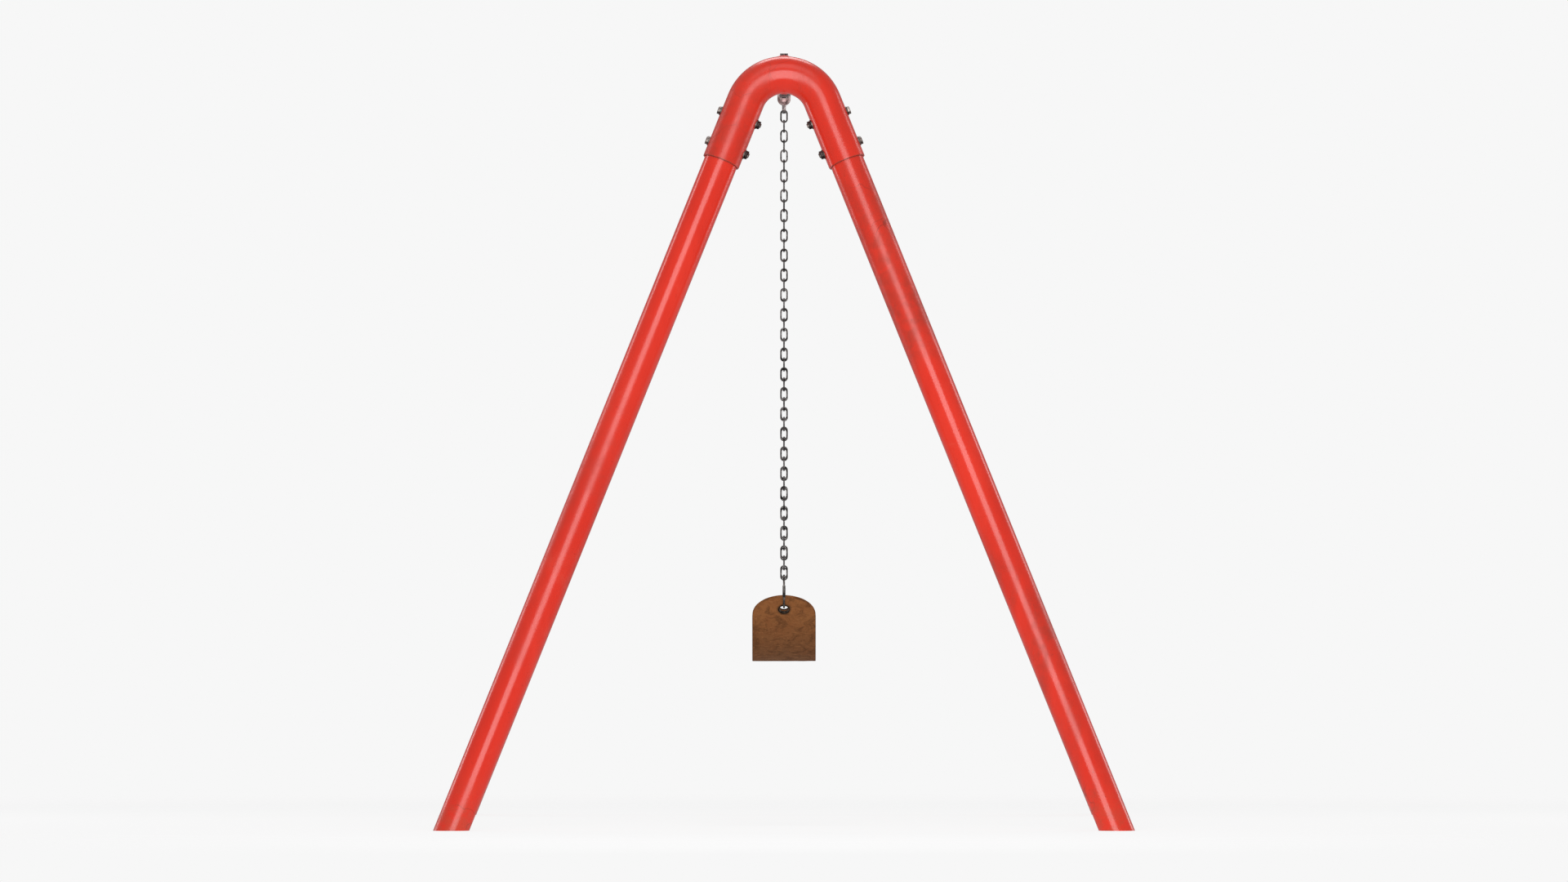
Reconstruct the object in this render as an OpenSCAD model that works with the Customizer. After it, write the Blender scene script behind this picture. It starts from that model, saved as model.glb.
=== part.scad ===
// Free-standing single swing: two A-frames, a top rail, two chains and a belt seat.
// Origin: middle of the footprint, on the ground. +X is the way the rider faces, +Y is the
// rider's left along the rail, +Z is up. Lengths are in millimetres.

/* [Frame] */
// Height of the top rail's centreline above the ground
rail_height = 1793; // [1600:1:2400]
// Distance between the tops of the two A-frames, along the rail
frame_spacing = 1500; // [1300:10:3000]
// Angle between each leg and the middle line of its A-frame, in the frame's own plane
leg_angle = 21.56; // [16:0.01:26]
// Outward lean of each A-frame, away from the swing
frame_lean = 11.5; // [0:0.5:15]
// Outer diameter of the rail
rail_od = 88; // [76:0.1:88.2]
// Outer diameter of the bends and the sleeves
bend_od = 88.9; // [88.7:0.1:95]
// Wall of the rail, the bends and the sleeves
rail_wall = 4; // [3:0.1:4.4]
// Wall of the leg tubes
leg_wall = 3; // [2:0.5:5]
// Centreline radius of the bend at the top of each A-frame
bend_r = 98; // [95:1:130]
// Length of the straight sleeve below each end of the bend
sleeve_len = 161; // [150:1:240]
// Thickness of the plate that closes the foot of each leg
foot_t = 3; // [2:0.5:8]

/* [Frame fasteners] */
// Distance from the sleeve's lower end to the nearer leg bolt
leg_bolt_inset = 37; // [25:1:60]
// Distance between the two leg bolts of a sleeve
leg_bolt_gap = 78.6; // [50:0.1:90]
// Thread diameter of the frame bolts
bolt_d = 10; // [8:1:12]
// Width across the flats of the frame bolts and nuts
bolt_af = 16.5; // [13:0.5:19]

/* [Hangers] */
// Distance from the rail's centreline down to the swing pivot
pivot_drop = 57.5; // [57:0.5:70]
// Width of the hanger bracket, along X
bracket_w = 31.6; // [28:0.2:36]
// Clear gap between the two cheeks of a bracket
cheek_gap = 26; // [24:1:40]
// Thickness of a cheek
cheek_t = 5; // [4:0.5:8]
// Diameter of the pivot bolt
pivot_d = 8; // [8:1:10]
// Width across the flats of the pivot bolt and its nut
pivot_af = 13.5; // [13:0.5:15]
// Distance from the swing pivot down to the centre of the eye
eye_drop = 23.8; // [23:0.1:40]
// Thickness of the eye plate, along X
eye_t = 9.2; // [6:0.1:9.6]

/* [Chains] */
// Number of links in each chain
chain_links = 47; // [31:2:61]
// Inside length of a link, which is the pitch of the chain
link_pitch = 23.8; // [20:0.1:30]
// Inside width of a link
link_inner_w = 10.6; // [10:0.1:14]
// Wire diameter of a link
link_wire = 4; // [3.5:0.1:5]

/* [Quick links] */
// Overall length of the quick link that holds the seat
quick_len = 75.8; // [70:0.1:90]
// Bar diameter of the quick link
quick_bar = 5; // [4:0.5:6]
// Centreline radius of the quick link's round ends
quick_r = 20.5; // [19:0.5:26]
// Outer diameter of the screw sleeve that closes the quick link
sleeve_nut_d = 7.2; // [7:0.1:12]

/* [Seat] */
// Width of the belt
belt_w = 152; // [130:1:180]
// Thickness of the belt
belt_t = 6; // [5:0.5:8]
// Slope of the belt's straight end tabs
tab_angle = 48; // [40:1:55]
// Length of each straight end tab
tab_len = 94; // [85:1:120]
// Middle-surface radius of the belt's curved part
belt_bend_r = 247; // [220:1:300]
// Distance from the tip of the belt to the centre of its hole
hole_inset = 34.4; // [33:0.1:40]
// Clear diameter of the grommet in the belt's hole
grommet_id = 23; // [20:0.5:25]

/* [Hidden] */
$fn = 64;

paint = "#d93a2a";
zinc = "#b9bcc0";
dark_steel = "#4c4e52";
tan_rubber = "#7f5434";

left = 1;
right = -1;
front = 1;
rear = -1;

rail_r = rail_od / 2;
bend_or = bend_od / 2;
bore_r = bend_or - rail_wall;
swage = 0.1;
sleeve_or = bend_or + swage;
sleeve_lap = 2;
leg_r = bore_r - 0.45;
half_spacing = frame_spacing / 2;
foot_reach = 2 * rail_height;

// Lengths along a leg are measured from the point where the bend becomes straight.
leg_start = 12;
leg_bolt_at = [for (i = [0, 1]) sleeve_len - leg_bolt_inset - i * leg_bolt_gap];

bolt_hole_d = bolt_d + 0.5;
head_h = 6.4;
nut_h = 7;
bolt_stub = 2.5;
washer_t = 2;
washer_d = 22;

// The rail is butted to a stub on each bend, and a spigot inside joins the two.
stub_len = 180;
stub_solid = 50;
spigot_len = 240;
spigot_r = rail_r - rail_wall - 0.1;
splice_y = half_spacing - stub_len;
splice_bolt_gap = 60;

hanger_bolt_gap = 38;
hanger_nut_h = 6;
hanger_washer_d = 26;
hanger_washer_t = 1.2;
saddle_t = 3;
saddle_end = 14;
saddle_z = rail_height - rail_r - saddle_t;
pivot_z = rail_height - pivot_drop;
recess_depth = 1.5;
recess_rim = 4.5;
pivot_nut_h = 6.5;
thrust_t = 1.5;
thrust_d = 16;
barrel_r = 8.5;
barrel_gap = 0.3;
barrel_len = cheek_gap - 2 * thrust_t - 2 * barrel_gap;
bushing_r = 6;
running_gap = 0.05;
eye_hole_r = 6;
eye_rim = 5;
eye_edge_r = 4.8;
eye_z = pivot_z - eye_drop;

// The first link hangs in the eye, and the quick link hangs on the last link.
link_gap = 0.3;
top_bar_z = eye_z - eye_hole_r + link_gap + link_wire / 2;
last_bar_z = top_bar_z - chain_links * link_pitch - link_wire;
quick_top_z = last_bar_z + link_wire / 2 + link_gap + quick_bar;
quick_bottom_z = quick_top_z - quick_len;
quick_straight = quick_len - quick_bar - 2 * quick_r;
screw_sleeve_len = 22;
quick_gap = 12;

// The lower rim of the grommet rests just above the lowest point of the quick link.
grommet_wall = 1;
grommet_flange = 0.8;
grommet_rim_r = 14;
rim_half_t = belt_t / 2 + grommet_flange;
tip_z = quick_bottom_z + quick_bar + link_gap + rim_half_t * cos(tab_angle)
    + (hole_inset - grommet_id / 2) * sin(tab_angle);
root_z = tip_z - tab_len * sin(tab_angle);
root_y = belt_bend_r * sin(tab_angle);
arc_z = root_z + belt_bend_r * cos(tab_angle);
tip_y = root_y + tab_len * cos(tab_angle);
chain_y = tip_y - (hole_inset - grommet_id / 2) * cos(tab_angle) + rim_half_t * sin(tab_angle);

// Each half of the belt's curve runs a little past the middle.
belt_overlap = 0.5;

// The tip of the belt is drawn as half an ellipse of this depth.
tip_depth = 61;
tip_step = 4.5;

// ---- shared shapes ----

// Puts its children in the plane of one A-frame: origin at the bend's centre, +Y up the plane.
module frame_plane(side)
    translate([0, side * half_spacing, rail_height])
        rotate([90 + side * frame_lean, 0, 0])
            translate([0, -bend_r, 0])
                children();

// Puts its children in the half of an A-frame's plane that holds one leg: +X outwards and
// +Y along the leg, upwards, with the bend turning about the origin from the X axis.
module leg_plane(side, end)
    frame_plane(side)
        mirror([end == rear ? 1 : 0, 0, 0])
            rotate([0, 0, leg_angle])
                children();

// Puts its children on a leg's axis, with +Z running down the leg and +X outwards.
module leg_axis(side, end)
    leg_plane(side, end)
        translate([bend_r, 0, 0])
            rotate([90, 0, 0])
                children();

module ring_2d(outer, inner)
    difference() {
        circle(r = outer);
        circle(r = inner);
    }

module tube(outer, inner, length)
    linear_extrude(length)
        ring_2d(outer, inner);

module hex(af, h)
    cylinder(d = af / cos(30), h = h, $fn = 6);

// A bolt along +Z whose head sits on the plane z = 0 and whose shank runs down to -length.
module hex_bolt(d, af, head, length) {
    hex(af, head);
    translate([0, 0, -length])
        cylinder(d = d, h = length + 1);
}

// A nut that sits on the plane z = 0 and reaches down.
module hex_nut(d, af, h)
    translate([0, 0, -h])
        difference() {
            hex(af, h);
            translate([0, 0, -1])
                cylinder(d = d + 0.1, h = h + 2);
        }

// A washer on +Z whose underside follows a tube that runs along Y.
module saddle_washer(tube_r, t, d, hole)
    difference() {
        translate([0, 0, tube_r - t - 1])
            cylinder(d = d, h = 2 * t + 1);
        rotate([90, 0, 0])
            cylinder(r = tube_r, h = 2 * d, center = true, $fn = 360);
        translate([0, 0, tube_r - 2 * t - 1])
            cylinder(d = hole, h = 4 * t + 2);
    }

// A closed oval link in the XZ plane, centred on the origin.
module oval_link(wire, inner_len, inner_w) {
    arc_r = (inner_w + wire) / 2;
    side = inner_len - inner_w;
    for (up = [0, 180])
        rotate([0, up, 0])
            translate([0, 0, side / 2])
                half_ring(arc_r, wire);
    for (x = [-arc_r, arc_r])
        translate([x, 0, -side / 2])
            cylinder(d = wire, h = side);
}

// The upper half of a ring in the XZ plane.
module half_ring(arc_r, wire)
    rotate([90, 0, 0])
        rotate_extrude(angle = 180)
            translate([arc_r, 0])
                circle(d = wire);

// ---- frame ----

module leg(side, end)
    color(paint)
        difference() {
            leg_axis(side, end)
                translate([0, 0, leg_start])
                    difference() {
                        cylinder(r = leg_r, h = foot_reach);
                        translate([0, 0, -1])
                            cylinder(r = leg_r - leg_wall, h = foot_reach + 2);
                        for (at = leg_bolt_at)
                            translate([0, 0, at - leg_start])
                                rotate([0, 90, 0])
                                    cylinder(d = bolt_hole_d, h = 4 * rail_r, center = true);
                    }
            translate([-foot_reach, -foot_reach, foot_t - 2 * foot_reach])
                cube(2 * foot_reach);
        }

module foot_plates(side)
    color(paint)
        for (end = [front, rear])
            intersection() {
                leg_axis(side, end)
                    cylinder(r = leg_r, h = foot_reach);
                translate([-foot_reach, -foot_reach, 0])
                    cube([2 * foot_reach, 2 * foot_reach, foot_t]);
            }

// A solid rod along the bend and both sleeves, which are swaged a hair wider than the bend.
module bent_rod(side, r, length) {
    leg_plane(side, front)
        rotate_extrude(angle = 180 - 2 * leg_angle)
            translate([bend_r, 0])
                circle(r = r);
    for (end = [front, rear])
        leg_axis(side, end)
            translate([0, 0, -sleeve_lap])
                cylinder(r = r + swage, h = length + sleeve_lap);
}

module bend(side)
    color(paint)
        difference() {
            union() {
                bent_rod(side, bend_or, sleeve_len);
                rail_end(side)
                    cylinder(r = rail_r, h = stub_len);
            }
            bent_rod(side, bore_r, sleeve_len + 1);
            rail_end(side)
                translate([0, 0, stub_solid])
                    cylinder(r = rail_r - rail_wall, h = stub_len);
            for (end = [front, rear], at = leg_bolt_at)
                leg_axis(side, end)
                    translate([0, 0, at])
                        rotate([0, 90, 0])
                            cylinder(d = bolt_hole_d, h = 4 * rail_r, center = true);
            translate([0, side * (splice_y + splice_bolt_gap), rail_height])
                rotate([0, 90, 0])
                    cylinder(d = bolt_hole_d, h = 4 * rail_r, center = true);
        }

// Puts its children on the rail's axis at the top of an A-frame, with +Z towards the middle.
module rail_end(side)
    translate([0, side * half_spacing, rail_height])
        rotate([side * 90, 0, 0])
            children();

module rail_tube()
    color(paint)
        difference() {
            translate([0, splice_y, rail_height])
                rotate([90, 0, 0])
                    tube(rail_r, rail_r - rail_wall, 2 * splice_y);
            for (side = [left, right]) {
                translate([0, side * (splice_y - splice_bolt_gap), rail_height])
                    rotate([0, 90, 0])
                        cylinder(d = bolt_hole_d, h = 4 * rail_r, center = true);
                for (gap = [-hanger_bolt_gap, hanger_bolt_gap])
                    translate([0, side * chain_y + gap, rail_height])
                        cylinder(d = bolt_hole_d, h = 4 * rail_r, center = true);
            }
        }

module spigot(side)
    color(dark_steel)
        difference() {
            translate([0, side * splice_y + spigot_len / 2, rail_height])
                rotate([90, 0, 0])
                    tube(spigot_r, spigot_r - leg_wall, spigot_len);
            for (gap = [-splice_bolt_gap, splice_bolt_gap])
                translate([0, side * splice_y + gap, rail_height])
                    rotate([0, 90, 0])
                        cylinder(d = bolt_hole_d, h = 4 * rail_r, center = true);
        }

// ---- frame fasteners ----

// Puts its children on each leg bolt's axis, with +Z pointing out of the A-frame.
module at_leg_bolts(side)
    for (end = [front, rear], at = leg_bolt_at)
        leg_axis(side, end)
            translate([0, 0, at])
                rotate([0, 90, 0])
                    children();

// Puts its children on each splice bolt's axis, with +Z along the rider's forward direction.
module at_splice_bolts()
    for (side = [left, right], gap = [-splice_bolt_gap, splice_bolt_gap])
        translate([0, side * splice_y + gap, rail_height])
            rotate([0, 90, 0])
                children();

// A bolt through a tube of the given radius, with its head on the +Z side.
module frame_bolt(tube_r)
    color(zinc)
        translate([0, 0, tube_r + washer_t])
            hex_bolt(bolt_d, bolt_af, head_h, 2 * (tube_r + washer_t) + nut_h + bolt_stub);

module frame_nut(tube_r)
    color(zinc)
        translate([0, 0, -tube_r - washer_t])
            hex_nut(bolt_d, bolt_af, nut_h);

// One washer under the head and one under the nut, for a tube along Y.
module frame_washers(tube_r)
    color(zinc)
        for (turn = [0, 180])
            rotate([0, turn, 0])
                saddle_washer(tube_r, washer_t, washer_d, bolt_hole_d);

// ---- hangers ----

// The U outline of a cheek, with its round end down, in the XZ plane.
module cheek_outline(w, top) {
    circle(d = w);
    translate([-w / 2, 0])
        square([w, top]);
}

module cheek(face)
    rotate([90, 0, 0])
        mirror([0, 0, face == 1 ? 1 : 0])
            translate([0, 0, cheek_gap / 2])
                difference() {
                    linear_extrude(cheek_t)
                        cheek_outline(bracket_w, saddle_z - pivot_z + 1);
                    translate([0, 0, cheek_t - recess_depth])
                        linear_extrude(cheek_t)
                            cheek_outline(bracket_w - 2 * recess_rim, saddle_z - pivot_z);
                    translate([0, 0, -1])
                        cylinder(d = pivot_d + 0.2, h = cheek_t + 2);
                }

module bracket(side)
    color(zinc)
        translate([0, side * chain_y, 0])
            difference() {
                union() {
                    translate([0, 0, saddle_z])
                        linear_extrude(2 * saddle_t + 2)
                            saddle_outline();
                    translate([0, 0, pivot_z])
                        for (face = [1, -1])
                            cheek(face);
                }
                translate([0, 0, rail_height])
                    rotate([90, 0, 0])
                        cylinder(r = rail_r, h = 4 * hanger_bolt_gap, center = true);
                for (gap = [-hanger_bolt_gap, hanger_bolt_gap])
                    translate([0, gap, saddle_z - 1])
                        cylinder(d = bolt_hole_d, h = 20);
            }

module saddle_outline() {
    end_y = hanger_bolt_gap + saddle_end - bracket_w / 2;
    square([bracket_w, 2 * end_y], center = true);
    for (y = [-end_y, end_y])
        translate([0, y])
            circle(d = bracket_w);
}

module at_hanger_bolts(side)
    for (gap = [-hanger_bolt_gap, hanger_bolt_gap])
        translate([0, side * chain_y + gap, rail_height])
            children();

module hanger_bolts(side)
    color(zinc)
        at_hanger_bolts(side)
            translate([0, 0, rail_r + hanger_washer_t])
                hex_bolt(bolt_d, bolt_af, head_h, 2 * rail_r + hanger_washer_t + saddle_t
                    + hanger_nut_h + bolt_stub);

module hanger_nuts(side)
    color(zinc)
        at_hanger_bolts(side)
            translate([0, 0, -rail_r - saddle_t])
                hex_nut(bolt_d, bolt_af, hanger_nut_h);

module hanger_washers(side)
    color(zinc)
        at_hanger_bolts(side)
            saddle_washer(rail_r, hanger_washer_t, hanger_washer_d, bolt_hole_d);

// Puts its children on a pivot's axis, with +Z pointing away from the middle of the swing.
module pivot_axis(side)
    translate([0, side * chain_y, pivot_z])
        rotate([-side * 90, 0, 0])
            children();

module pivot_bolt(side)
    color(zinc)
        pivot_axis(side)
            translate([0, 0, cheek_gap / 2 + cheek_t - recess_depth])
                hex_bolt(pivot_d, pivot_af, pivot_d * 0.65,
                    cheek_gap + 2 * (cheek_t - recess_depth) + pivot_nut_h + 1.5);

module pivot_nut(side)
    color(zinc)
        pivot_axis(side)
            translate([0, 0, -cheek_gap / 2 - cheek_t + recess_depth])
                hex_nut(pivot_d, pivot_af, pivot_nut_h);

module thrust_washers(side)
    color(dark_steel)
        pivot_axis(side)
            for (z = [-cheek_gap / 2, cheek_gap / 2 - thrust_t])
                translate([0, 0, z])
                    tube(thrust_d / 2, pivot_d / 2 + 0.1, thrust_t);

module pendulum(side)
    color(dark_steel)
        difference() {
            union() {
                pivot_axis(side)
                    cylinder(r = barrel_r, h = barrel_len, center = true);
                translate([-eye_t / 2, side * chain_y, pivot_z])
                    rotate([90, 0, 90])
                        linear_extrude(eye_t)
                            eye_outline();
            }
            pivot_axis(side)
                cylinder(r = bushing_r, h = 2 * barrel_len, center = true);
            translate([0, side * chain_y, eye_z])
                rotate([0, 90, 0])
                    rotate_extrude()
                        eye_hole_profile();
        }

// The eye's hole has a rounded rim, so that a round link can lie in it.
module eye_hole_profile()
    difference() {
        translate([0, -eye_t])
            square([eye_hole_r + eye_edge_r, 2 * eye_t]);
        translate([eye_hole_r + eye_edge_r, 0])
            circle(r = eye_edge_r);
    }

module eye_outline() {
    eye_r = eye_hole_r + eye_rim;
    translate([0, -eye_drop])
        circle(r = eye_r);
    translate([-eye_r, -eye_drop])
        square([2 * eye_r, eye_drop]);
}

module bushing(side)
    color("#c8a85a")
        pivot_axis(side)
            translate([0, 0, -barrel_len / 2])
                tube(bushing_r, pivot_d / 2 + running_gap, barrel_len);

// ---- chains and quick links ----

module chain(side)
    color(dark_steel)
        for (i = [0:chain_links - 1])
            translate([0, side * chain_y, top_bar_z - link_wire / 2 - (i + 0.5) * link_pitch])
                rotate([0, 0, 90 * (i % 2)])
                    oval_link(link_wire - 0.1, link_pitch + 0.1, link_inner_w + 0.1);

// An open oval in the YZ plane: the gap in its outer side is bridged by the screw sleeve.
module quick_link(side)
    color(zinc)
        translate([0, side * chain_y, (quick_top_z + quick_bottom_z) / 2])
            rotate([0, 0, side * 90]) {
                for (up = [0, 180])
                    rotate([0, up, 0])
                        translate([0, 0, quick_straight / 2])
                            half_ring(quick_r, quick_bar);
                translate([-quick_r, 0, -quick_straight / 2])
                    cylinder(d = quick_bar, h = quick_straight);
                for (z = [-quick_straight / 2, quick_gap / 2])
                    translate([quick_r, 0, z])
                        cylinder(d = quick_bar, h = (quick_straight - quick_gap) / 2);
            }

module screw_sleeve(side)
    color(dark_steel)
        translate([0, side * (chain_y + quick_r),
                (quick_top_z + quick_bottom_z - screw_sleeve_len) / 2])
            tube(sleeve_nut_d / 2, quick_bar / 2 + 0.05, screw_sleeve_len);

// ---- seat ----

// The outline of one end tab: x runs from the root to the tip, y is across the belt. The
// tip is half an ellipse.
module tab_outline()
    polygon(concat(
        [[0, -belt_w / 2]],
        [for (t = [-90:tip_step:90])
            [tab_len - tip_depth * (1 - cos(t)), belt_w / 2 * sin(t)]],
        [[0, belt_w / 2]]
    ));

// Puts its children in one half of the belt: +Z along X of the swing, and the curved part
// turns about the origin from the X axis, where the tab begins and runs along +Y.
module belt_half(side)
    translate([0, 0, arc_z])
        rotate([0, 90, 0])
            mirror([0, side == right ? 1 : 0, 0])
                rotate([0, 0, tab_angle])
                    children();

// Puts its children on the middle surface of a tab: +X towards the tip, +Z out of its top.
module tab_plane(side)
    belt_half(side)
        translate([belt_bend_r, 0, 0])
            rotate([-90, 0, 90])
                children();

module belt()
    color(tan_rubber)
        difference() {
            for (side = [left, right]) {
                belt_half(side)
                    rotate_extrude(angle = -tab_angle - belt_overlap)
                        translate([belt_bend_r - belt_t / 2, -belt_w / 2])
                            square([belt_t, belt_w]);
                tab_plane(side)
                    translate([0, 0, -belt_t / 2])
                        linear_extrude(belt_t)
                            tab_outline();
            }
            for (side = [left, right])
                tab_plane(side)
                    translate([tab_len - hole_inset, 0, -belt_t])
                        cylinder(r = grommet_id / 2 + grommet_wall, h = 2 * belt_t);
        }

module grommet(side)
    color(dark_steel)
        tab_plane(side)
            translate([tab_len - hole_inset, 0, 0])
                rotate_extrude()
                    translate([grommet_id / 2, 0])
                        grommet_profile();

module grommet_profile() {
    translate([0, -rim_half_t])
        square([grommet_wall, 2 * rim_half_t]);
    for (y = [-rim_half_t, belt_t / 2])
        translate([0, y])
            square([grommet_rim_r - grommet_id / 2, grommet_flange]);
}

leg(left, front);  // leg_front_left
leg(left, rear);  // leg_rear_left
leg(right, front);  // leg_front_right
leg(right, rear);  // leg_rear_right
foot_plates(left);  // foot_plates_left
foot_plates(right);  // foot_plates_right
bend(left);  // bend_left
bend(right);  // bend_right
rail_tube();
spigot(left);  // spigot_left
spigot(right);  // spigot_right
at_leg_bolts(left) frame_bolt(sleeve_or);  // leg_bolts_left
at_leg_bolts(right) frame_bolt(sleeve_or);  // leg_bolts_right
at_leg_bolts(left) frame_nut(sleeve_or);  // leg_nuts_left
at_leg_bolts(right) frame_nut(sleeve_or);  // leg_nuts_right
at_leg_bolts(left) rotate([0, 0, 90]) frame_washers(sleeve_or);  // leg_washers_left
at_leg_bolts(right) rotate([0, 0, 90]) frame_washers(sleeve_or);  // leg_washers_right
at_splice_bolts() frame_bolt(rail_r);  // rail_bolts
at_splice_bolts() frame_nut(rail_r);  // rail_nuts
at_splice_bolts() frame_washers(rail_r);  // rail_washers
bracket(left);  // bracket_left
bracket(right);  // bracket_right
hanger_bolts(left);  // hanger_bolts_left
hanger_bolts(right);  // hanger_bolts_right
hanger_nuts(left);  // hanger_nuts_left
hanger_nuts(right);  // hanger_nuts_right
hanger_washers(left);  // hanger_washers_left
hanger_washers(right);  // hanger_washers_right
pivot_bolt(left);  // pivot_bolt_left
pivot_bolt(right);  // pivot_bolt_right
pivot_nut(left);  // pivot_nut_left
pivot_nut(right);  // pivot_nut_right
thrust_washers(left);  // thrust_washers_left
thrust_washers(right);  // thrust_washers_right
pendulum(left);  // pendulum_left
pendulum(right);  // pendulum_right
bushing(left);  // bushing_left
bushing(right);  // bushing_right
chain(left);  // chain_left
chain(right);  // chain_right
quick_link(left);  // quick_link_left
quick_link(right);  // quick_link_right
screw_sleeve(left);  // screw_sleeve_left
screw_sleeve(right);  // screw_sleeve_right
belt();
grommet(left);  // grommet_left
grommet(right);  // grommet_right
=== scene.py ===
import math

import bmesh
import bpy
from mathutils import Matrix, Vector, noise


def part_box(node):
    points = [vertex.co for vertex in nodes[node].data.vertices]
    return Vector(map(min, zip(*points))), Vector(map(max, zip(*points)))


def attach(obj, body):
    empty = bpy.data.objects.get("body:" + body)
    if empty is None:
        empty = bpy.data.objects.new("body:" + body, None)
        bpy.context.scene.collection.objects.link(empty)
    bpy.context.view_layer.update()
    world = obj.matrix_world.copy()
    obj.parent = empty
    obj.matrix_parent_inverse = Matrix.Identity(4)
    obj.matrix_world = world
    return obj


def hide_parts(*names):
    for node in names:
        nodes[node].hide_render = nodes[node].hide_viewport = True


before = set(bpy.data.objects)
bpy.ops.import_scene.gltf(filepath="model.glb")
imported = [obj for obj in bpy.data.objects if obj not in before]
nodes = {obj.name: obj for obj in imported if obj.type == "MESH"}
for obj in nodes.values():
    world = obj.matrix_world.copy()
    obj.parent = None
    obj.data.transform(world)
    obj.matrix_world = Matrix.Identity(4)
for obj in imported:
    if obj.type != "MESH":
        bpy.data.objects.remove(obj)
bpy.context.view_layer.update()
scene = bpy.context.scene

# Sizes that part.scad gives to the A-frames and the belt, in metres and radians.
SIDES = {"left": 1, "right": -1}
HALF_SPACING = 0.75
RAIL_HEIGHT = 1.793
RAIL_R = 0.044
BEND_TUBE_R = 0.04445
BEND_R = 0.098
SLEEVE_LEN = 0.161
LEG_ANGLE = math.radians(21.56)
FRAME_LEAN = math.radians(11.5)
BELT_W = 0.152
BELT_T = 0.006
BELT_BEND_R = 0.247
TAB_ANGLE = math.radians(48)
TAB_LEN = 0.094
TIP_DEPTH = 0.061
HOLE_INSET = 0.0344
HOLE_R = 0.0125

# The belt is an arc with a straight tab at each end. Runs are lengths along it from its middle.
belt_low, belt_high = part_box("belt")
ARC_RUN = BELT_BEND_R * TAB_ANGLE
HOLE_RUN = ARC_RUN + TAB_LEN - HOLE_INSET
ARC_Z = belt_low.z + BELT_T / 2 + BELT_BEND_R

# The four legs mirror each other, so one line in (|X|, |Y|, Z) stands for all of them.
DOWN_FRAME = Vector((0, math.sin(FRAME_LEAN), -math.cos(FRAME_LEAN)))
ACROSS = Vector((1, 0, 0))
LEG_AXIS = math.sin(LEG_ANGLE) * ACROSS + math.cos(LEG_ANGLE) * DOWN_FRAME
BEND_CENTRE = Vector((0, HALF_SPACING, RAIL_HEIGHT)) + BEND_R * DOWN_FRAME
TANGENT = BEND_CENTRE + BEND_R * (
    math.cos(LEG_ANGLE) * ACROSS - math.sin(LEG_ANGLE) * DOWN_FRAME
)


def belt_place(x, run, n):
    """Where a point of the flat belt lies when it is bent, with n its height off mid-thickness."""
    side = math.copysign(1, run)
    on_arc = min(abs(run), ARC_RUN)
    turn = on_arc / BELT_BEND_R
    past = abs(run) - on_arc
    y = (BELT_BEND_R - n) * math.sin(turn) + past * math.cos(turn)
    z = ARC_Z - (BELT_BEND_R - n) * math.cos(turn) + past * math.sin(turn)
    return Vector((x, side * y, z))


# ---------------------------------------------------------------- materials

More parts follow.
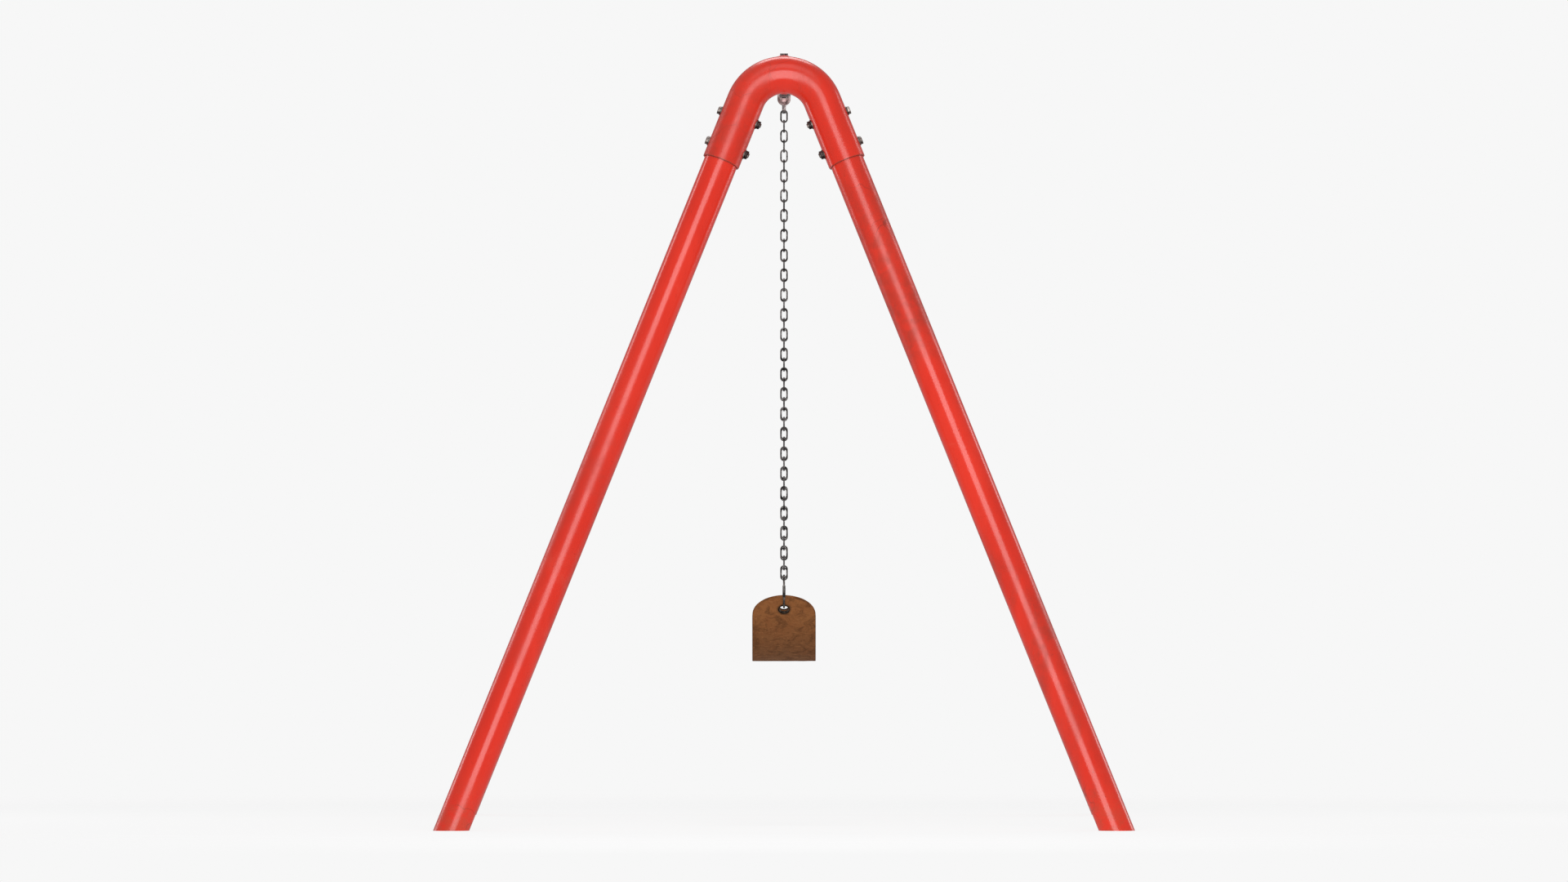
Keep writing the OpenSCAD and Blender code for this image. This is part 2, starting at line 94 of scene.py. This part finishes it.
class Shader:
    """A short way to write one node material."""

    def __init__(self, name):
        self.mat = bpy.data.materials.new(name)
        self.mat.use_nodes = True
        self.tree = self.mat.node_tree
        self.bsdf = next(n for n in self.tree.nodes if n.type == "BSDF_PRINCIPLED")
        self.output = next(n for n in self.tree.nodes if n.type == "OUTPUT_MATERIAL")
        self.place = self.node("ShaderNodeTexCoord").outputs["Object"]

    def node(self, kind, **settings):
        made = self.tree.nodes.new(kind)
        for key, value in settings.items():
            setattr(made, key, value)
        return made

    def join(self, value, socket):
        """Link a socket, or set its value from a number, a vector or a colour."""
        if isinstance(value, bpy.types.NodeSocket):
            self.tree.links.new(value, socket)
        elif isinstance(value, (tuple, list, Vector)):
            size = len(socket.default_value)
            socket.default_value = (tuple(value) + (1.0,))[:size]
        else:
            socket.default_value = value

    def math(self, operation, a, b=0.0):
        made = self.node("ShaderNodeMath", operation=operation)
        self.join(a, made.inputs[0])
        self.join(b, made.inputs[1])
        return made.outputs[0]

    def vector(self, operation, a, b=(0, 0, 0)):
        made = self.node("ShaderNodeVectorMath", operation=operation)
        self.join(a, made.inputs[0])
        self.join(b, made.inputs[1])
        return made.outputs["Value" if operation in ("DOT_PRODUCT", "LENGTH") else "Vector"]

    def scaled(self, vector, factor):
        made = self.node("ShaderNodeVectorMath", operation="SCALE")
        self.join(vector, made.inputs[0])
        made.inputs["Scale"].default_value = factor
        return made.outputs["Vector"]

    def height(self):
        return self.vector("DOT_PRODUCT", self.place, (0, 0, 1))

    def stretched(self, scale, shift=(0, 0, 0)):
        made = self.node("ShaderNodeMapping")
        self.join(self.place, made.inputs["Vector"])
        made.inputs["Scale"].default_value = scale
        made.inputs["Location"].default_value = shift
        return made.outputs["Vector"]

    def noise(self, scale, detail=3.0, rough=0.55, warp=0.0, where=None):
        made = self.node("ShaderNodeTexNoise")
        self.join(self.place if where is None else where, made.inputs["Vector"])
        made.inputs["Scale"].default_value = scale
        made.inputs["Detail"].default_value = detail
        made.inputs["Roughness"].default_value = rough
        made.inputs["Distortion"].default_value = warp
        return made.outputs["Fac"]

    def wander(self, scale, amount, where):
        """The place, pushed about by up to amount metres so that straight lines wander."""
        made = self.node("ShaderNodeTexNoise")
        self.join(where, made.inputs["Vector"])
        made.inputs["Scale"].default_value = scale
        made.inputs["Detail"].default_value = 3.0
        return self.vector("ADD", where, self.scaled(made.outputs["Color"], amount))

    def cracks(self, scale, where):
        made = self.node("ShaderNodeTexVoronoi", feature="DISTANCE_TO_EDGE")
        self.join(where, made.inputs["Vector"])
        made.inputs["Scale"].default_value = scale
        return made.outputs["Distance"]

    def ramp(self, value, low, high, start=0.0, end=1.0):
        made = self.node("ShaderNodeMapRange", interpolation_type="SMOOTHSTEP")
        self.join(value, made.inputs["Value"])
        for name, number in (
            ("From Min", low), ("From Max", high), ("To Min", start), ("To Max", end)
        ):
            made.inputs[name].default_value = number
        return made.outputs["Result"]

    def mix(self, factor, a, b):
        made = self.node("ShaderNodeMix", data_type="RGBA")
        self.join(factor, made.inputs["Factor"])
        self.join(a, made.inputs[6])
        self.join(b, made.inputs[7])
        return made.outputs[2]

    def layer(self, base, mask, strength, over):
        """A colour laid over the base where the mask is, at most at this strength."""
        return self.mix(self.math("MULTIPLY", mask, strength), base, over)

    def bump(self, height, depth, strength=1.0, after=None):
        made = self.node("ShaderNodeBump")
        made.inputs["Strength"].default_value = strength
        made.inputs["Distance"].default_value = depth
        self.join(height, made.inputs["Height"])
        if after is not None:
            self.join(after, made.inputs["Normal"])
        return made.outputs["Normal"]

    def set(self, **values):
        for name, value in values.items():
            self.join(value, self.bsdf.inputs[name.replace("_", " ")])
        return self.mat


def colour(red, green, blue):
    """An sRGB colour, 0 to 255, as the linear one that a shader takes."""
    def linear(c):
        c = c / 255
        return c / 12.92 if c <= 0.04045 else ((c + 0.055) / 1.055) ** 2.4
    return linear(red), linear(green), linear(blue)


PAINT_DEEP = colour(214, 44, 26)
PAINT_RED = colour(226, 52, 33)
PAINT_FADED = colour(226, 104, 84)
PAINT_GRIME = colour(126, 50, 34)
SCRATCH_DARK = colour(128, 44, 32)
SPECK_DARK = colour(96, 34, 26)
CHIP_DARK = colour(150, 62, 50)
SOIL = colour(128, 92, 66)
RUST = colour(112, 70, 46)

# Painted light and shade: the belt's brown is lighter high on its tabs and darker low at the seat,
# as if lit from above.
BELT_SHADED_LOW = colour(103, 66, 38)
BELT_LIT_HIGH = colour(139, 88, 48)
BELT_BLOTCH = colour(112, 64, 33)
BELT_STAIN = colour(76, 46, 24)
BELT_FIBRE = colour(150, 100, 60)
BELT_CUT = colour(90, 60, 38)
BELT_HOLE_RING = colour(58, 40, 26)


def from_sleeve_rim(s):
    """How far a point lies from the rim of its sleeve, measured along its leg."""
    folded = s.vector("ABSOLUTE", s.place)
    rim = TANGENT.dot(LEG_AXIS) + SLEEVE_LEN
    along = s.math("SUBTRACT", s.vector("DOT_PRODUCT", folded, LEG_AXIS), rim)
    return s.math("ABSOLUTE", along)


def painted(name, seed, grime, scratch):
    """Glossy red paint on steel tube, with soft grime, thin scratches and chipped rims."""
    s = Shader(name)
    shift = (seed * 3.7, seed * 1.9, seed * 2.3)
    where = s.stretched((1, 1, 1), shift)
    drawn_out = s.stretched((1, 1, 0.35), shift)
    off_rim = from_sleeve_rim(s)

    tone = s.noise(5.0, detail=4.0, rough=0.6, warp=0.4, where=drawn_out)
    base = s.mix(s.ramp(tone, 0.35, 0.65), PAINT_DEEP, PAINT_RED)

    cloud = s.noise(3.1, detail=5.0, rough=0.62, warp=0.8, where=drawn_out)
    fine = s.noise(38.0, detail=4.0, rough=0.65, warp=0.3, where=where)
    edge = 0.52 - 0.12 * grime
    speckled = s.ramp(fine, 0.30, 0.70, 0.35, 1.0)
    smudge = s.math("MULTIPLY", s.ramp(cloud, edge, edge + 0.26), speckled)
    base = s.layer(base, smudge, 0.8 * grime, PAINT_GRIME)

    dust_place = s.stretched((1, 1, 1), (seed, 5.0, seed))
    dust = s.noise(9.0, detail=6.0, rough=0.7, warp=0.6, where=dust_place)
    base = s.mix(s.ramp(dust, 0.56, 0.80, 0.0, 0.22), base, PAINT_FADED)

    line = s.ramp(s.cracks(8.0, s.wander(7.0, 0.14, where)), 0.002, 0.009, 1.0, 0.0)
    area_place = s.stretched((1, 1, 0.6), (seed, 2.0, 9.0))
    area = s.ramp(s.noise(2.3, detail=2.0, rough=0.5, where=area_place), 0.54, 0.60)
    scratched = s.math("MULTIPLY", line, area)
    base = s.layer(base, scratched, scratch, SCRATCH_DARK)

    speck = s.ramp(s.noise(170.0, detail=2.0, rough=0.5, where=where), 0.70, 0.76)
    base = s.layer(base, speck, 0.35, SPECK_DARK)

    ragged = s.math("MULTIPLY", s.noise(140.0, detail=3.0, rough=0.6, where=where), -0.004)
    chip = s.ramp(s.math("ADD", off_rim, ragged), -0.0014, 0.0004, 1.0, 0.0)
    base = s.layer(base, chip, 0.75, CHIP_DARK)

    near_ground = s.ramp(s.height(), 0.0, 0.16, 1.0, 0.0)
    foot = s.math("MULTIPLY", near_ground, s.ramp(fine, 0.35, 0.65))
    base = s.layer(base, foot, 0.22, SOIL)

    worn = s.ramp(cloud, 0.35, 0.75, 0.17, 0.28)
    rough = s.math("ADD", worn, s.math("MULTIPLY", smudge, 0.22))
    peel = s.bump(s.noise(260.0, detail=2.0, rough=0.5, where=where), 0.0003, 0.15)
    dents = s.bump(s.noise(11.0, detail=1.0, rough=0.5, where=where), 0.003, 0.02, peel)
    marks = s.bump(s.math("MULTIPLY", scratched, -1.0), 0.0002, 0.25, dents)
    return s.set(
        Base_Color=base, Roughness=rough, Normal=marks, IOR=1.5, Specular_IOR_Level=0.45,
    )


def steel(name, light, dark, rough, seed, rust=0.0, brushed=None, metal=1.0):
    """Zinc-plated steel, bare steel or bronze that has dulled in the open."""
    s = Shader(name)
    where = s.stretched((1, 1, 1), (seed, seed * 2.0, seed * 3.0))
    patch = s.noise(70.0, detail=4.0, rough=0.62, warp=0.6, where=where)
    grain = s.noise(420.0, detail=3.0, rough=0.6, where=where)
    base = s.mix(s.ramp(patch, 0.36, 0.66), dark, light)
    base = s.mix(s.ramp(grain, 0.45, 0.75, 0.0, 0.4), base, dark)
    if rust:
        stain = s.ramp(s.noise(95.0, detail=5.0, rough=0.7, warp=0.5, where=where), 0.60, 0.76)
        base = s.layer(base, stain, rust, RUST)
    if brushed is not None:
        lines = s.noise(300.0, detail=2.0, rough=0.6, where=s.stretched(brushed, (seed, 0, 0)))
        normal = s.bump(lines, 0.0003, 0.2, s.bump(grain, 0.0003, 0.2))
    else:
        normal = s.bump(grain, 0.0004, 0.25)
    return s.set(
        Base_Color=base, Metallic=metal, Normal=normal,
        Roughness=s.ramp(patch, 0.3, 0.7, rough + 0.08, rough - 0.06),
    )


def plastic(name, light, dark, rough):
    """A plain moulded polymer with faint mottling."""
    s = Shader(name)
    patch = s.noise(180.0, detail=4.0, rough=0.6)
    return s.set(
        Base_Color=s.mix(s.ramp(patch, 0.35, 0.65), dark, light),
        Roughness=s.ramp(patch, 0.3, 0.7, rough - 0.05, rough + 0.08),
        Normal=s.bump(patch, 0.0003, 0.25),
    )


def belt_rubber():
    """Brown belting with matted fibres, darker at its cut edges, and with painted shade that makes
    it darker towards the seat.
    """
    s = Shader("belt_rubber_stained_and_shaded")
    sheet = s.stretched((1, 1, 1), (2.0, 0.0, 0.0))
    mottle = s.noise(34.0, detail=7.0, rough=0.68, warp=0.9, where=sheet)
    blotch = s.noise(13.0, detail=4.0, rough=0.6, warp=0.7, where=sheet)
    strands = s.stretched((0.55, 1.6, 1.6), (4.0, 1.0, 3.0))
    fibre = s.noise(120.0, detail=5.0, rough=0.7, warp=1.6, where=strands)

    # Painted shade: darker low at the seat and lighter towards the tips, as light from above falls
    # on the belt.
    base = s.mix(s.ramp(s.height(), belt_high.z - 0.155, belt_high.z), BELT_SHADED_LOW, BELT_LIT_HIGH)
    base = s.mix(s.ramp(blotch, 0.35, 0.68, 0.0, 0.4), base, BELT_BLOTCH)
    base = s.mix(s.ramp(mottle, 0.44, 0.62, 0.0, 0.62), base, BELT_STAIN)
    base = s.mix(s.ramp(fibre, 0.50, 0.66, 0.0, 0.5), base, BELT_FIBRE)

    off_middle = s.vector("LENGTH", s.vector("MULTIPLY", s.place, (1, 0, 0)))
    border = s.ramp(off_middle, BELT_W / 2 - 0.0022, BELT_W / 2, 0.0, 0.35)
    base = s.mix(border, base, BELT_CUT)

    # Darker in a ring round each hole.
    folded = s.vector("ABSOLUTE", s.place)
    hole = belt_place(0.0, HOLE_RUN, 0.0)
    to_hole = s.vector("LENGTH", s.vector("SUBTRACT", folded, hole))
    ring = s.math("ADD", to_hole, s.math("MULTIPLY", mottle, -0.006))
    base = s.mix(s.ramp(ring, 0.010, 0.018, 0.75, 0.0), base, BELT_HOLE_RING)

    pits = s.bump(s.noise(260.0, detail=4.0, rough=0.6, where=sheet), 0.0006, 0.4)
    skin = s.bump(fibre, 0.0012, 0.35, s.bump(mottle, 0.0016, 0.35, pits))
    return s.set(
        Base_Color=base, Normal=skin, Roughness=s.ramp(mottle, 0.3, 0.7, 0.78, 0.92),
        Specular_IOR_Level=0.12,
    )


# ---------------------------------------------------------------- meshes

def circle(steps):
    """The angles of a full turn in equal steps."""
    return [2 * math.pi * k / steps for k in range(steps)]


def bridge(bm, one, two):
    """Quads between two closed rings of the same number of points."""
    for k in range(len(one)):
        j = (k + 1) % len(one)
        bm.faces.new([one[k], two[k], two[j], one[j]])


def ease_edges(bm, degrees, width, segments, profile):
    """Round every edge that is sharper than this angle."""
    edges = [
        e for e in bm.edges
        if len(e.link_faces) == 2 and e.calc_face_angle() > math.radians(degrees)
    ]
    bmesh.ops.bevel(
        bm, geom=edges, offset=width, segments=segments, profile=profile,
        affect="EDGES", clamp_overlap=True,
    )


def mesh_from(bm, name):
    mesh = bpy.data.meshes.new(name)
    bm.to_mesh(mesh)
    bm.free()
    return mesh


def belt_sheet(bm):
    """The flat belt without thickness: a grid over the seat and a fan of rings round each hole."""
    across, seat_rows, rings, tip_step = 24, 56, 7, 5
    root = ARC_RUN + 0.012
    known = {}

    def vert(x, run):
        key = (round(x, 6), round(run, 6))
        if key not in known:
            known[key] = bm.verts.new((x, run, 0.0))
        return known[key]

    columns = [BELT_W * (j / across - 0.5) for j in range(across + 1)]
    rows = [root * (2 * i / seat_rows - 1) for i in range(seat_rows + 1)]
    for s0, s1 in zip(rows, rows[1:]):
        for x0, x1 in zip(columns, columns[1:]):
            bm.faces.new([vert(x0, s0), vert(x1, s0), vert(x1, s1), vert(x0, s1)])

    hole = Vector((0.0, HOLE_RUN))
    tip = [math.radians(t) for t in range(0, 181, tip_step)]
    outline = [Vector((x, root)) for x in columns]
    outline += [
        Vector((
            BELT_W / 2 * math.cos(t),
            ARC_RUN + TAB_LEN - TIP_DEPTH + TIP_DEPTH * math.sin(t),
        ))
        for t in tip
    ]
    for side in SIDES.values():
        loops = []
        for k in range(rings + 1):
            outward = (k / rings) ** 1.25
            loop = []
            for p in outline:
                on_hole = hole + (p - hole).normalized() * HOLE_R
                at = on_hole.lerp(p, outward)
                loop.append(vert(at.x, side * at.y))
            loops.append(loop)
        for inner, outer in zip(loops, loops[1:]):
            for a in range(len(outline)):
                b = (a + 1) % len(outline)
                corners = [inner[a], outer[a], outer[b], inner[b]]
                bm.faces.new(corners[::side])


def belt_mesh():
    """The belt as one closed body with rounded edges, thinned a little in slow waves."""
    most_thinning = 0.0007
    bm = bmesh.new()
    belt_sheet(bm)
    made = bmesh.ops.extrude_face_region(bm, geom=list(bm.faces))
    raised = {v for v in made["geom"] if isinstance(v, bmesh.types.BMVert)}
    for v in bm.verts:
        v.co.z = BELT_T / 2 if v in raised else -BELT_T / 2
    bmesh.ops.recalc_face_normals(bm, faces=bm.faces)
    ease_edges(bm, degrees=60, width=0.0016, segments=3, profile=0.55)
    for v in bm.verts:
        x, run, n = v.co
        wave = noise.noise(Vector((x * 22, run * 16, 4.0)))
        n -= math.copysign(most_thinning, n) * min(1, abs(wave))
        v.co = belt_place(x, run, n)
    bmesh.ops.recalc_face_normals(bm, faces=bm.faces)
    return mesh_from(bm, "belt_skin")


def eased(name, width):
    """The CAD node's own shape with its sharp edges eased, as a forged or cut part has them."""
    bm = bmesh.new()
    bm.from_mesh(nodes[name].data)
    bmesh.ops.remove_doubles(bm, verts=bm.verts, dist=1e-6)
    bmesh.ops.dissolve_limit(
        bm, angle_limit=math.radians(0.5), verts=bm.verts, edges=bm.edges
    )
    ease_edges(bm, degrees=38, width=width, segments=2, profile=0.6)
    bmesh.ops.triangulate(bm, faces=bm.faces)
    return mesh_from(bm, name + "_eased")


def stub_meets_bend(angle, side):
    """The point at this angle round the rail where the rail's stub enters the bend's tube."""
    search_depth, halvings = 0.12, 40
    centre = BEND_CENTRE * Vector((1, side, 1))
    down = DOWN_FRAME * Vector((1, side, 1))
    normal = ACROSS.cross(down).normalized()

    def outside(p):
        rel = p - centre
        off_axis = math.hypot(rel.dot(ACROSS), rel.dot(down)) - BEND_R
        return math.hypot(off_axis, rel.dot(normal)) > BEND_TUBE_R

    x, z = RAIL_R * math.sin(angle), RAIL_HEIGHT + RAIL_R * math.cos(angle)
    near, far = HALF_SPACING - search_depth, HALF_SPACING
    for _ in range(halvings):
        middle = (near + far) / 2
        if outside(Vector((x, side * middle, z))):
            near = middle
        else:
            far = middle
    return Vector((x, side * near, z))


def weld_mesh(side):
    """The bead where the rail's stub meets the bend, with the ripples of each pass."""
    steps, spokes, bead = 132, 10, 0.0042
    ripple_steps, ripple_depth = 4, 0.16
    unevenness, flatness = 0.08, 0.62
    path = [stub_meets_bend(a, side) for a in circle(steps)]
    bm = bmesh.new()
    rings = []
    for i, p in enumerate(path):
        ahead = (path[(i + 1) % steps] - path[i - 1]).normalized()
        out = Vector((p.x, 0, p.z - RAIL_HEIGHT)).normalized()
        out = (out - ahead * out.dot(ahead)).normalized()
        third = ahead.cross(out)
        ripple = 1 + ripple_depth * math.cos(2 * math.pi * (i % ripple_steps) / ripple_steps)
        size = bead * ripple * (1 + unevenness * noise.noise(p * 90))
        rings.append([
            bm.verts.new(p + size * (math.cos(t) * out * flatness + math.sin(t) * third))
            for t in circle(spokes)
        ])
    for i in range(steps):
        bridge(bm, rings[i], rings[(i + 1) % steps])
    bmesh.ops.recalc_face_normals(bm, faces=bm.faces)
    return mesh_from(bm, "weld_bead")


# ---------------------------------------------------------------- finishes and pieces

def coat(name, material):
    """Give a CAD node this material in place of its plain one."""
    nodes[name].data.materials.clear()
    nodes[name].data.materials.append(material)


def piece(name, mesh, body, material):
    obj = bpy.data.objects.new(name, mesh)
    scene.collection.objects.link(obj)
    mesh.materials.append(material)
    mesh.polygons.foreach_set("use_smooth", [True] * len(mesh.polygons))
    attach(obj, body)
    return obj


def sharp_by_angle(mesh, degrees):
    mesh.set_sharp_from_angle(angle=math.radians(degrees))


def sides_of(pattern):
    """Both sides where the pattern holds {side}, or one empty word where it has none."""
    return tuple(SIDES) if "{side}" in pattern else ("",)


LEG_GRIME = {
    "leg_front_right": 0.85, "leg_rear_right": 0.35,
    "leg_front_left": 0.5, "leg_rear_left": 0.6,
}
for seed, (name, grime) in enumerate(LEG_GRIME.items(), start=1):
    coat(name, painted("paint_" + name, seed, grime, scratch=0.6))
for name, seed in (("bend_left", 11), ("bend_right", 12)):
    coat(name, painted("paint_" + name, seed, grime=0.6, scratch=0.35))
rail_paint = painted("paint_rail", 21, grime=0.6, scratch=0.4)
plate_paint = painted("paint_plates", 22, grime=0.8, scratch=0.3)
weld_paint = painted("paint_weld", 23, grime=0.9, scratch=0.2)

grey_zinc = steel(
    "zinc_weathered", colour(150, 138, 132), colour(92, 80, 76), rough=0.42, seed=1, rust=0.35
)
dark_nut = steel(
    "nut_weathered", colour(74, 66, 64), colour(34, 30, 30), rough=0.46, seed=2, rust=0.4
)
washer_zinc = steel(
    "washer_weathered", colour(140, 128, 122), colour(80, 70, 66), rough=0.45, seed=3, rust=0.3
)
bracket_zinc = steel(
    "bracket_weathered", colour(196, 178, 176), colour(122, 104, 102),
    rough=0.42, seed=4, rust=0.25, metal=0.45,
)
hanger_dark = steel(
    "hanger_weathered", colour(96, 84, 84), colour(40, 32, 34), rough=0.42, seed=5, rust=0.35
)
pivot_bright = steel(
    "pivot_bright", colour(232, 204, 202), colour(190, 158, 156), rough=0.32, seed=6, metal=0.6
)
pendulum_grey = steel(
    "pendulum_worn", colour(196, 190, 188), colour(96, 90, 90),
    rough=0.36, seed=7, rust=0.2, brushed=(1, 1, 0.05),
)
spigot_grey = steel(
    "spigot_drawn", colour(150, 150, 152), colour(104, 104, 106), rough=0.4, seed=8
)
chain_dark = steel(
    "chain_worn", colour(120, 117, 116), colour(42, 40, 40), rough=0.32, seed=9, rust=0.2
)
quick_dark = steel(
    "quick_link_worn", colour(150, 146, 142), colour(58, 55, 52), rough=0.3, seed=10, rust=0.15
)
sleeve_dark = steel(
    "sleeve_knurled", colour(112, 108, 106), colour(46, 44, 42),
    rough=0.34, seed=11, rust=0.15, brushed=(1, 1, 8),
)
grommet_dark = steel(
    "grommet_worn", colour(92, 78, 64), colour(40, 32, 26), rough=0.44, seed=12, rust=0.4
)
bronze = steel(
    "bushing_bronze", colour(196, 150, 92), colour(140, 100, 58), rough=0.34, seed=14
)
nylon = plastic("thrust_nylon", colour(226, 222, 210), colour(196, 190, 176), rough=0.55)

# CAD nodes that keep their own shape.
FINISH = {
    "rail_tube": rail_paint,
    "foot_plates_{side}": plate_paint,
    "spigot_{side}": spigot_grey,
    "thrust_washers_{side}": nylon,
    "bushing_{side}": bronze,
    "chain_{side}": chain_dark,
    "quick_link_{side}": quick_dark,
    "grommet_{side}": grommet_dark,
    "leg_washers_{side}": washer_zinc,
    "rail_washers": washer_zinc,
    "hanger_washers_{side}": washer_zinc,
}
for pattern, material in FINISH.items():
    for word in sides_of(pattern):
        coat(pattern.format(side=word), material)

# CAD nodes that a copy with eased edges replaces: node, body, slot, material and width of the edge.
SMALL_EDGE = 0.0005
EDGE = 0.0006
EASED = (
    ("leg_bolts_{side}", "frame", "bolt_zinc", grey_zinc, EDGE),
    ("leg_nuts_{side}", "frame", "nut_steel", dark_nut, EDGE),
    ("rail_bolts", "frame", "bolt_zinc", grey_zinc, EDGE),
    ("rail_nuts", "frame", "nut_steel", dark_nut, EDGE),
    ("hanger_bolts_{side}", "frame", "hanger_bolt_steel", hanger_dark, SMALL_EDGE),
    ("hanger_nuts_{side}", "frame", "hanger_nut_steel", hanger_dark, SMALL_EDGE),
    ("pivot_bolt_{side}", "frame", "pivot_zinc", pivot_bright, SMALL_EDGE),
    ("pivot_nut_{side}", "frame", "pivot_zinc", pivot_bright, SMALL_EDGE),
    ("bracket_{side}", "frame", "bracket_zinc", bracket_zinc, SMALL_EDGE),
    ("pendulum_{side}", "pendulum_{side}", "pendulum_steel", pendulum_grey, SMALL_EDGE),
    ("screw_sleeve_{side}", "link_{side}", "sleeve_steel", sleeve_dark, EDGE),
)
for pattern, body, slot, material, width in EASED:
    for word in sides_of(pattern):
        name = pattern.format(side=word)
        mesh = eased(name, width)
        obj = piece(name + "_eased", mesh, body.format(side=word), material)
        sharp_by_angle(mesh, 28)
        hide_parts(name)

belt = piece("belt_strap", belt_mesh(), "seat", belt_rubber())
sharp_by_angle(belt.data, 40)
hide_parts("belt")

for word, side in SIDES.items():
    piece("weld_bead_" + word, weld_mesh(side), "frame", weld_paint)


# ---------------------------------------------------------------- floor, light and camera

def floor_mesh():
    """A flat disc of rings."""
    radii, spokes = (0.8, 1.6, 2.4, 3.2, 4.0, 4.8), 96
    bm = bmesh.new()
    loops = [
        [bm.verts.new((r * math.cos(t), r * math.sin(t), 0.0)) for t in circle(spokes)]
        for r in radii
    ]
    middle = bm.verts.new((0, 0, 0))
    for k in range(spokes):
        bm.faces.new([middle, loops[0][k], loops[0][(k + 1) % spokes]])
    for inner, outer in zip(loops, loops[1:]):
        bridge(bm, inner, outer)
    return mesh_from(bm, "floor")


def floor_material():
    """Pale and mostly self-lit, so that shadows stay faint, and fading out towards its rim."""
    glow_level, matt_level, matt_share = 0.955, 0.95, 0.15
    fade_start, fade_end = 1.7, 4.4
    s = Shader("floor_pale")
    glow = s.node("ShaderNodeEmission")
    s.join((glow_level,) * 3, glow.inputs["Color"])
    matt = s.node("ShaderNodeBsdfDiffuse")
    s.join((matt_level,) * 3, matt.inputs["Color"])
    surface = s.node("ShaderNodeMixShader")
    s.join(matt_share, surface.inputs["Fac"])
    s.join(glow.outputs[0], surface.inputs[1])
    s.join(matt.outputs[0], surface.inputs[2])
    clear = s.node("ShaderNodeBsdfTransparent")
    fade = s.node("ShaderNodeMixShader")
    s.join(s.ramp(s.vector("LENGTH", s.place), fade_start, fade_end), fade.inputs["Fac"])
    s.join(surface.outputs[0], fade.inputs[1])
    s.join(clear.outputs[0], fade.inputs[2])
    s.join(fade.outputs[0], s.output.inputs["Surface"])
    return s.mat


def add_floor():
    mesh = floor_mesh()
    mesh.materials.append(floor_material())
    obj = bpy.data.objects.new("floor", mesh)
    scene.collection.objects.link(obj)
    obj.visible_glossy = False


def add_world(seen_level, fill_level):
    """Near white where the camera sees it, and a dimmer even fill for everything else."""
    world = bpy.data.worlds.new("studio")
    scene.world = world
    world.use_nodes = True
    tree = world.node_tree
    tree.nodes.clear()
    pick = tree.nodes.new("ShaderNodeMixShader")
    for place, level in ((1, fill_level), (2, seen_level)):
        light = tree.nodes.new("ShaderNodeBackground")
        light.inputs["Color"].default_value = (level, level, level, 1)
        tree.links.new(light.outputs[0], pick.inputs[place])
    ray = tree.nodes.new("ShaderNodeLightPath")
    tree.links.new(ray.outputs["Is Camera Ray"], pick.inputs["Fac"])
    output = tree.nodes.new("ShaderNodeOutputWorld")
    tree.links.new(pick.outputs[0], output.inputs["Surface"])


def softbox(name, place, aim, size, watts):
    """A rectangle light at a place, turned to face its aim."""
    data = bpy.data.lights.new(name, "AREA")
    data.shape = "RECTANGLE"
    data.size, data.size_y = size
    data.energy = watts
    obj = bpy.data.objects.new(name, data)
    scene.collection.objects.link(obj)
    obj.location = place
    obj.rotation_euler = (Vector(aim) - Vector(place)).to_track_quat("-Z", "Y").to_euler()
    obj.visible_camera = False


def add_camera():
    """A camera at the end of the rail. Its lens is long, so that near legs hide far ones."""
    lens, sensor, clip_near, clip_far = 950.0, 36.0, 1.0, 160.0
    view_width, aim_z, eye_z = 3.725, 0.923, 1.70
    near_frame_y = -(HALF_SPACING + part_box("foot_plates_left")[1].y) / 2
    data = bpy.data.cameras.new("camera")
    data.sensor_width = sensor
    data.lens = lens
    data.clip_start = clip_near
    data.clip_end = clip_far
    camera = bpy.data.objects.new("camera", data)
    scene.collection.objects.link(camera)
    aim = Vector((0.0, near_frame_y, aim_z))
    camera.location = (0.0, near_frame_y - view_width * lens / sensor, eye_z)
    camera.rotation_euler = (aim - camera.location).to_track_quat("-Z", "Y").to_euler()
    scene.camera = camera


add_floor()
add_world(seen_level=0.93, fill_level=0.37)
softbox("front_strip", (0.0, -4.5, 2.1), (0.0, 0.0, 2.1), (2.1, 3.4), 100)
softbox("side_left", (-3.3, 0.9, 1.95), (0.3, -0.9, 1.6), (0.9, 3.0), 26)
softbox("side_right", (3.3, 0.9, 1.95), (-0.3, -0.9, 1.6), (0.9, 3.0), 26)
softbox("top_box", (0.0, 1.6, 4.3), (0.0, -0.4, 1.7), (2.4, 1.4), 40)
softbox("top_front", (0.0, -3.2, 5.6), (0.0, -0.6, 0.9), (4.0, 2.2), 34)
add_camera()
scene.view_settings.view_transform = "Standard"
scene.view_settings.look = "None"
